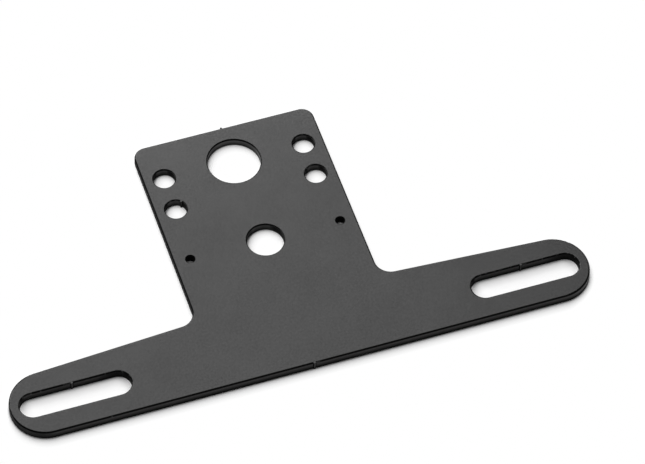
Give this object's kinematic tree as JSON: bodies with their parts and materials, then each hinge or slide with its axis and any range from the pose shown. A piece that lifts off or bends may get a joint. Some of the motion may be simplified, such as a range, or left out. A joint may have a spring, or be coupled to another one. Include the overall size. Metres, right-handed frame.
{
  "type": "license plate holder",
  "caption": "Flat T-shaped steel plate that carries a licence plate on two slotted arms, with a drilled tab for mounting and a lamp.",
  "frame": {"origin": "midway between the two slots, on the underside", "axes": "+X along the arms, to the right in the picture; +Y towards the end of the tab; +Z out of the top face"},
  "size_m": [0.266, 0.135, 0.0045],
  "materials": {
    "black_powder_coat": "satin black powder coat over laser-cut steel"
  },
  "bodies": {
    "root": {"bracket_plate": "black_powder_coat"}
  },
  "joints": []
}
